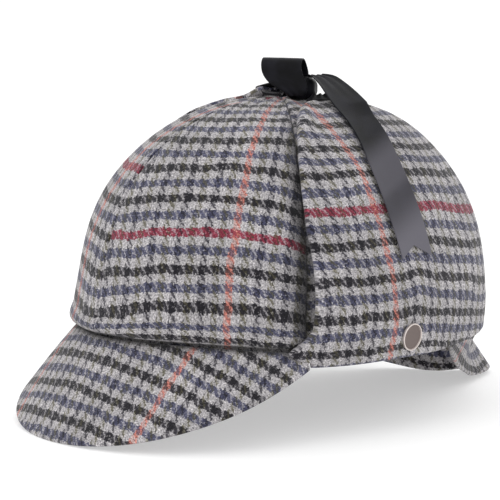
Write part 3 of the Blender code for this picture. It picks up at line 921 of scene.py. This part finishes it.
RIGHT_FLAP_TOP = (
    # climb, front edge, back edge, lift off the crown, thickness
    (120.0, 71.0, 146.0, 0.7, 2.8),
    (126.0, 77.0, 142.0, 0.7, 2.8),
    (131.0, 84.0, 138.0, 0.7, 2.8),
    (135.0, 90.0, 134.0, 0.9, 3.0),
    (139.0, 96.0, 130.0, 1.5, 3.4),
    (142.0, 100.0, 126.0, 2.6, 3.8),
    (144.5, 105.0, 121.0, 4.0, 3.4),
)
FLAP_ROWS = (
    # climb, way up the flat cloth from the crimson row
    (-8, -78), (1.5, -66), (17, -49.5), (31, -33), (46.5, -16.5), (63.5, 0), (84, 16.5), (100.5, 33),
    (119, 49.5), (145, 73),
)
FLAP_WARP = (
    # climb, drift of the warp towards the back
    (-8, -3.0), (0, -2.5), (10, -1.0), (20, 0.0), (35, -2.0), (50, -4.5), (65, -5.0), (85, -5.5),
    (105, -7.0), (125, -8.5), (145, -11.0),
)
FLAP_SAG_FROM = 15
FLAP_SAG = 0.15
FLAP_CROWDING = 1.05
EASE_FROM = 55
EASE = 0.72
FLAP_STEPS_UP, FLAP_STEPS_ACROSS, FLAP_FINE_STEPS = 86, 72, 121
FLAP_FOLD_ROUND, FLAP_SIDE_ROUND = 2.2, 2.4
TOP_PAD, TOP_PAD_WIDTH = 2.0 * MM, 10 * MM
TOP_PAD_FADE = (
    # climb, share of the padding near the flap's top front corner
    (106, 0.0), (118, 1.0), (131, 1.0), (137, 0.0),
)
TOE_END, TOE_BLEND = 66.65, 0.5
TOE_SLOPE = 0.97
TOE_CLEAR = 0.2 * MM
ROLL_FULL_AT = 12
FRONT_ROLL = (
    # distance from the front edge, how far the cloth stands up there
    (0.0, 0.0), (1.2, 0.5), (2.6, 0.8), (4.4, 0.4), (6.4, -0.3), (8.4, -0.1), (11.0, 0.0),
)


def above_peak(phi, climb, offset):
    """The climb of a point on the flap's toe, which rests on the front peak's sloping end."""
    least = rim_lift(phi) - PEAK_SEAT + TOE_CLEAR - TOE_SLOPE * offset
    share = np.clip((TOE_END - phi) / TOE_BLEND, 0, 1)
    return climb + share * np.maximum(0, least - climb)


def ear_flap(node, side, top, number, red):
    table = np.array(FLAP_OUTLINE + top)
    climbs = table[0, 0] + stepped(table[-1, 0] - table[0, 0], FLAP_STEPS_UP, FLAP_FOLD_ROUND)[0]
    front, end, lift, thickness = (np.interp(climbs, table[:, 0], table[:, k]) for k in range(1, 5))
    climb = climbs[:, None] * MM
    phi_fine = np.linspace(front, end, FLAP_FINE_STEPS, axis=1)
    run = run_along(crown_point(phi_fine, climb, edge_lift=False), 1)
    widths = run[:, -1]
    radius = (thickness / 2 * MM)[:, None]
    across = stepped(widths, FLAP_STEPS_ACROSS, FLAP_SIDE_ROUND * MM)
    phi = np.stack([np.interp(a, r, p) for a, r, p in zip(across, run, phi_fine)])
    climb = np.broadcast_to(climb, phi.shape)
    low, high = climb - climb[0], climb[-1] - climb
    soft = rounding(across, radius) * rounding(widths[:, None] - across, radius)
    soft = soft * rounding(low, FLAP_FOLD_ROUND * MM) * rounding(high, radius)
    depth = radius * (1 - soft)
    roll = column(FRONT_ROLL, across / MM) * np.clip(climb / MM / ROLL_FULL_AT, 0, 1) * MM
    pad = TOP_PAD * np.sin(np.pi * np.clip(across / TOP_PAD_WIDTH, 0, 1)) * column(TOP_PAD_FADE, climb / MM)
    over = (lift + thickness)[:, None] * MM - depth + (roll + pad)
    under = lift[:, None] * MM + depth
    outer = crown_point(side * phi, above_peak(phi, climb, over), over, edge_lift=False)
    inner = crown_point(side * phi, above_peak(phi, climb, under), under, edge_lift=False)
    back_way = outer[..., 1] / MM
    sag = FLAP_SAG * np.maximum(0, back_way - FLAP_SAG_FROM)
    way_back = back_way - column(FLAP_WARP, climb / MM)
    way_back = np.where(way_back > EASE_FROM, EASE_FROM + EASE * (way_back - EASE_FROM), way_back)
    cloth = on_cloth(
        side * FLAP_CROWDING * (way_back - red) + WARP_RED,
        column(FLAP_ROWS, climb / MM + sag) + WEFT_CRIMSON, number,
    )
    return cloth_mesh(node + "_tweed", eased(outer), eased(inner), cloth, TWEED, node)


ear_flap("left_ear_flap", 1, LEFT_FLAP_TOP, 8, red=0.0)
ear_flap("right_ear_flap", -1, RIGHT_FLAP_TOP, 9, red=12.0)

# %% [markdown]
# ## Ribbon
#
# A ribbon is a strip of fixed width that bends along its length and hardly across it. So each one is a
# line of centres, the way across at each, and a width. Where it is pulled narrow at the knot it pleats,
# and those pleats fade out as it spreads. The tails end in a V cut, which keeps satin from fraying.

# %% A strip of ribbon
RIBBON_THICKNESS = 0.7 * MM
FULL_WIDTH = 21.0 * MM
TAIL_NOTCH = 6.0 * MM
TAIL_CUP = 0.5 * MM
PLEATS_ACROSS = 3
TAIL_PLEATS, LEAD_PLEATS, LOOP_PLEATS = 1.1 * MM, 1.9 * MM, 0.5 * MM
RIBBON_COLUMNS, RIBBON_ROW = 17, 1.6 * MM
KNOT = ["bow_knot_satin"]


def ribbon(node, number, centres, ways, widths, notch=0.0, cup=0.0, pleats=TAIL_PLEATS):
    """A strip through the centres. ways run across it, and notch cuts its end to a V."""
    ways = ways / np.linalg.norm(ways, axis=-1, keepdims=True)
    run = run_along(centres)
    spread = stepped(2.0, RIBBON_COLUMNS, 2 * RIBBON_THICKNESS / FULL_WIDTH)[0] - 1
    rows = stepped(1.0, 6 + int(run[-1] / RIBBON_ROW), RIBBON_THICKNESS / run[-1])[0]
    places = rows[:, None] * (run[-1] - notch * (1 - np.abs(spread)))
    centre = np.stack([np.interp(places, run, centres[:, k]) for k in range(3)], -1)
    way = np.stack([np.interp(places, run, ways[:, k]) for k in range(3)], -1)
    width = np.interp(places, run, widths)
    grid = centre + way * (spread * width / 2)[..., None]
    normals = grid_normals(grid)
    narrow = np.clip(1 - width / FULL_WIDTH, 0, 1)
    fold = pleats * narrow * np.cos(spread * PLEATS_ACROSS * np.pi) - cup * spread**2
    grid = grid + normals * fold[..., None]
    from_side = (1 - np.abs(spread)) * width / 2
    from_end = np.minimum(places, places[-1:] - places)
    soft = rounding(from_side, RIBBON_THICKNESS / 2) * rounding(from_end, RIBBON_THICKNESS / 2)
    reach = (RIBBON_THICKNESS / 2 * soft)[..., None]
    cloth = on_cloth(spread * width / 2 / MM, places / MM, number)
    outer, inner = eased(grid + normals * reach), eased(grid - normals * reach)
    return cloth_mesh(node + "_satin", outer, inner, cloth, SATIN, node), run[-1]


# %% [markdown]
# The tails rise from the knot in a low arch, clear the flap's top edge and lie down the flap. Each is
# given by two short tables: places over the crown for the arch, and places on the crown's surface for
# the part that lies on it.

# %% Ribbon tails and leads
ASIDE = 2
LEFT_ARCH = (
    # x, y, height above the rim, width
    (15.0, 9.0, 125.6, 10.0),
    (19.0, 11.4, 125.0, 14.5),
    (26.0, 12.0, 121.8, 17.0),
    (33.0, 12.0, 117.9, 19.6),
    (40.0, 12.0, 113.6, 21.2),
)
LEFT_TAIL = (
    # phi, climb, lift off the crown, width
    (101.6, 122.0, 5.0, 21.2),
    (100.2, 114.0, 4.6, 21.2),
    (98.9, 106.0, 4.4, 21.2),
    (97.2, 96.0, 4.5, 21.2),
    (96.1, 85.0, 4.6, 21.2),
    (95.8, 71.0, 4.9, 21.2),
    (96.2, 56.0, 5.3, 21.2),
    (97.3, 38.0, 6.0, 20.8),
)
RIGHT_ARCH = (
    # x, y, height above the rim, width
    (-0.4, 8.6, 121.9, 9.0),
    (4.0, 11.0, 121.8, 12.0),
    (12.0, 15.6, 121.4, 16.0),
    (19.0, 19.2, 120.8, 19.0),
    (24.6, 21.4, 120.2, 20.0),
)
RIGHT_TAIL = (
    # phi, climb, lift off the crown, width
    (118.0, 140.4, 8.6, 20.0),
    (117.0, 134.0, 5.8, 20.0),
    (115.0, 126.0, 4.6, 20.0),
    (112.0, 116.0, 4.6, 20.0),
    (108.0, 102.0, 4.3, 20.0),
    (105.0, 86.0, 4.4, 20.0),
    (103.0, 70.0, 4.8, 20.0),
    (102.0, 53.0, 5.4, 20.0),
)
LEFT_LEAD = (
    # x, y, height above the rim, width
    (24.6, 6.4, 114.2, 19.0),
    (23.0, 7.0, 115.0, 17.0),
    (21.4, 7.9, 115.9, 13.0),
    (19.9, 8.8, 117.0, 10.0),
)
RIGHT_LEAD = (
    # x, y, height above the rim, width
    (24.4, 11.8, 115.6, 11.0),
    (19.0, 11.0, 115.1, 13.0),
    (10.0, 9.0, 115.2, 13.0),
    (3.0, 6.0, 115.5, 11.0),
    (-0.2, 3.6, 116.0, 9.0),
)


def arch(side, table):
    """Centres, ways across and widths from a table of places over the crown."""
    rows = smooth_rows(table, parts=6)
    centres = rows[:, :3] * (side, 1, 1) * MM + (0, RIM_CENTRE_Y, RIM_HEIGHT)
    return centres, np.tile([0.0, 1.0, 0.0], (len(rows), 1)), rows[:, 3] * MM


def ribbon_tail(node, number, side, over, down):
    centres, ways, widths = arch(side, over)
    rows = smooth_rows(down, parts=6)
    here = crown_point(side * rows[:, 0], rows[:, 1] * MM, rows[:, 2] * MM)
    beside = crown_point(side * (rows[:, 0] + ASIDE), rows[:, 1] * MM, rows[:, 2] * MM)
    way = beside - here
    way /= np.linalg.norm(way, axis=-1, keepdims=True)
    line = [np.concatenate(pair) for pair in ((centres, here), (ways, way), (widths, rows[:, 3] * MM))]
    return ribbon(node, number, *line, TAIL_NOTCH, TAIL_CUP)


STRIPS = [
    (*ribbon_tail("left_ribbon_tail", 10, 1, LEFT_ARCH, LEFT_TAIL), ["left_ear_flap_tweed"], "draped"),
    (*ribbon_tail("right_ribbon_tail", 11, -1, RIGHT_ARCH, RIGHT_TAIL), ["right_ear_flap_tweed"], "draped"),
    (*ribbon("left_ribbon_lead", 12, *arch(1, LEFT_LEAD)), KNOT, "gathered"),
    (*ribbon("right_ribbon_lead", 13, *arch(-1, RIGHT_LEAD), pleats=LEAD_PLEATS), KNOT, "gathered"),
]

# %% [markdown]
# ## The bow
#
# The bow has two loops. One stands up and leans over, with its broad face to the front, and the other
# lies down behind it. Both are strips again, which leave the knot narrow, spread, turn over and come
# back.

# %% Bow loops
KNOT_CENTRE = np.array([10.5, 4.2, 119.6]) * MM
BOW_TURN = math.radians(38)
UPRIGHT_LOOP = (
    # towards the viewer, height above the rim, shift along the ribbon's width, width
    (7.9, 116.0, 0.4, 8.0),
    (8.7, 118.4, -1.2, 13.0),
    (8.4, 122.0, -4.2, 19.0),
    (7.8, 126.4, -7.0, 20.4),
    (7.2, 130.8, -8.0, 20.4),
    (4.8, 133.7, -8.0, 20.4),
    (0.6, 133.7, -8.0, 20.4),
    (-2.4, 131.0, -7.8, 20.4),
    (-2.6, 127.6, -6.0, 18.4),
    (-1.2, 125.3, -3.4, 14.0),
)
LYING_LOOP = (
    # away from the viewer, height above the rim, shift along the ribbon's width, width
    (7.9, 117.8, -2.0, 10.0),
    (11.0, 117.2, -4.0, 13.0),
    (16.0, 116.9, -6.0, 16.0),
    (22.0, 116.7, -7.4, 17.0),
    (25.6, 117.4, -8.0, 17.0),
    (25.4, 119.0, -8.0, 17.0),
    (20.0, 119.8, -7.4, 17.0),
    (13.0, 119.8, -5.0, 14.0),
    (8.0, 119.6, -2.0, 10.0),
)


def bow_loop(node, number, table, away):
    across = np.array([math.cos(BOW_TURN), math.sin(BOW_TURN), 0])
    outward = np.array([math.sin(BOW_TURN), -math.cos(BOW_TURN), 0]) * (-1 if away else 1)
    rows = smooth_rows(table, parts=8)
    middle = np.array([KNOT_CENTRE[0], RIM_CENTRE_Y + KNOT_CENTRE[1], RIM_HEIGHT])
    centres = middle + (rows[:, :1] * outward + rows[:, 2:3] * across + rows[:, 1:2] * (0, 0, 1)) * MM
    ways = np.tile(across, (len(rows), 1))
    return ribbon(node, number, centres, ways, rows[:, 3] * MM, pleats=LOOP_PLEATS)


STRIPS += [
    (*bow_loop("upright_bow_loop", 14, UPRIGHT_LOOP, away=False), KNOT, "folded"),
    (*bow_loop("lying_bow_loop", 15, LYING_LOOP, away=True), KNOT, "folded"),
]

# %% [markdown]
# The knot is ribbon pulled tight round itself. A rounded block with a few shallow creases stands in for
# it, because it is small and the bow's loops hide most of it.

# %% The knot
KNOT_SIZE = np.array([15.5, 13.5, 11.4]) * MM
KNOT_TURNS, KNOT_LIFTS = 65, 33
KNOT_FILL = 0.52
CREASES, KNOT_CREASE = 7, 0.05


def bow_knot():
    turns, lifts = np.meshgrid(
        np.linspace(0, 2 * np.pi, KNOT_TURNS), np.linspace(-np.pi / 2, np.pi / 2, KNOT_LIFTS)
    )
    way = np.stack([np.cos(lifts) * np.cos(turns), np.cos(lifts) * np.sin(turns), np.sin(lifts)], -1)
    blocky = way / (np.abs(way) ** 3).sum(-1, keepdims=True) ** (1 / 3)
    crease = 1 - KNOT_CREASE * np.abs(np.sin(way[..., 0] * CREASES)) ** 0.6 * np.cos(lifts) ** 0.5
    points = KNOT_FILL * blocky * crease[..., None] * KNOT_SIZE
    spin = np.array(Matrix.Rotation(BOW_TURN, 3, "Z"))
    points = points @ spin.T + KNOT_CENTRE + (0, RIM_CENTRE_Y, RIM_HEIGHT)
    rows, columns = points.shape[:2]
    index = np.arange(rows * columns).reshape(rows, columns)
    index[:, -1] = index[:, 0]
    index[0], index[-1] = index[0, 0], index[-1, 0]
    faces = []
    for i in range(rows - 1):
        for j in range(columns - 1):
            corners = [index[i, j], index[i, j + 1], index[i + 1, j + 1], index[i + 1, j]]
            faces.append(list(dict.fromkeys(int(c) for c in corners)))
    used, flat = np.unique(np.concatenate(faces), return_inverse=True)
    splits = np.cumsum([len(face) for face in faces])[:-1]
    faces = [face.tolist() for face in np.split(flat, splits)]
    points = points.reshape(-1, 3)[used]
    marks = {"cloth": (points - (0, 0, points[:, 2].max())) / MM}
    return worn(KNOT[0], eased(points), faces, marks, SATIN, "bow_knot")


bow_knot()

# %% [markdown]
# ## The badge
#
# A small round metal badge sits low on the left flap. It is spun from one profile: a rolled rim, a thin
# groove and a gently domed face, which is left bare. Then it is pressed to a slight oval that leans.

# %% The badge
BADGE_THICKNESS = 1.2 * MM
BADGE_STEPS = 96
BADGE_PHI, BADGE_CLIMB, BADGE_LIFT, BADGE_NOD = 94.7, 5.6 * MM, 6.3 * MM, 5.5
BADGE_OVAL, BADGE_LEAN = 0.90, 14
BADGE_PROFILE = (
    # share of the radius, share of the thickness
    (0.0, 0.02),
    (0.90, 0.0),
    (0.96, 0.06),
    (1.0, 0.3),
    (1.0, 0.65),
    (0.985, 0.88),
    (0.955, 1.0),
    (0.925, 1.0),
    (0.90, 0.88),
    (0.885, 0.66),
    (0.87, 0.5),
    (0.85, 0.52),
    (0.82, 0.62),
    (0.6, 0.68),
    (0.3, 0.74),
    (0.0, 0.76),
)


def badge():
    rows = smooth_rows(BADGE_PROFILE, parts=3) * (BADGE_RADIUS * MM, BADGE_THICKNESS)
    turns = np.linspace(0, 2 * np.pi, BADGE_STEPS, endpoint=False)
    rings = [
        np.stack([r * np.cos(turns), r * np.sin(turns), np.full(BADGE_STEPS, z)], -1) for r, z in rows[1:-1]
    ]
    points = np.concatenate([[[0, 0, rows[0, 1]]], *rings, [[0, 0, rows[-1, 1]]]])
    faces = []
    last = len(points) - 1
    for j in range(BADGE_STEPS):
        k = (j + 1) % BADGE_STEPS
        faces.append((0, 1 + k, 1 + j))
        faces.append((last - BADGE_STEPS + j, last - BADGE_STEPS + k, last))
        for low in range(1, last - BADGE_STEPS, BADGE_STEPS):
            high = low + BADGE_STEPS
            faces.append((low + j, low + k, high + k, high + j))
    turn = math.radians(BADGE_PHI)
    level = Vector((RIM_HALF_LENGTH * math.sin(turn), -RIM_HALF_WIDTH * math.cos(turn), 0)).normalized()
    out = level - Vector((0, 0, math.tan(math.radians(BADGE_NOD))))
    here = crown_point(BADGE_PHI, BADGE_CLIMB, BADGE_LIFT, edge_lift=False)[0]
    oval = Matrix.Rotation(math.radians(-BADGE_LEAN), 4, "Z") @ Matrix.Diagonal((BADGE_OVAL, 1, 1, 1))
    set_on = Matrix.Translation(here) @ out.to_track_quat("Z", "Y").to_matrix().to_4x4() @ oval
    placed = np.array([set_on @ Vector(point) for point in points])
    return worn("badge_disc", placed, faces, {"cloth": points / MM}, METAL, "badge")


badge()

# %% [markdown]
# ## Floor
#
# The floor is stage and not part of the hat: a wide pale disc. It glows a little, so that it comes out
# nearly as pale as the room behind it.

# %% The floor
FLOOR_RADIUS, FLOOR_SIDES = 14, 128


def floor():
    finish = Finish(
        "pale_floor", Base_Color=(0.66, 0.66, 0.66, 1), Roughness=0.9, Specular_IOR_Level=0.1,
        Emission_Color=(1.0, 1.0, 1.0, 1), Emission_Strength=0.42,
    )
    turns = np.linspace(0, 2 * np.pi, FLOOR_SIDES, endpoint=False)
    edge = [(FLOOR_RADIUS * math.cos(t), FLOOR_RADIUS * math.sin(t), 0) for t in turns]
    mesh = bpy.data.meshes.new("floor")
    mesh.from_pydata(edge, [], [range(FLOOR_SIDES)])
    mesh.materials.append(finish.material)
    stage = bpy.data.objects.new("floor", mesh)
    bpy.context.scene.collection.objects.link(stage)


floor()

# %% [markdown]
# ## The ribbon's cut sizes
#
# All the ribbon is cut from one roll, so every strip is printed at its full width, also where it is
# pulled narrow at the knot. The shortest one is declared at a least length, with its true area.

for piece, length, rests_on, held in STRIPS:
    area = FULL_WIDTH * length
    print(f"{piece.name}: cut {1000 * FULL_WIDTH:.0f} mm wide, {1000 * length:.0f} mm long")
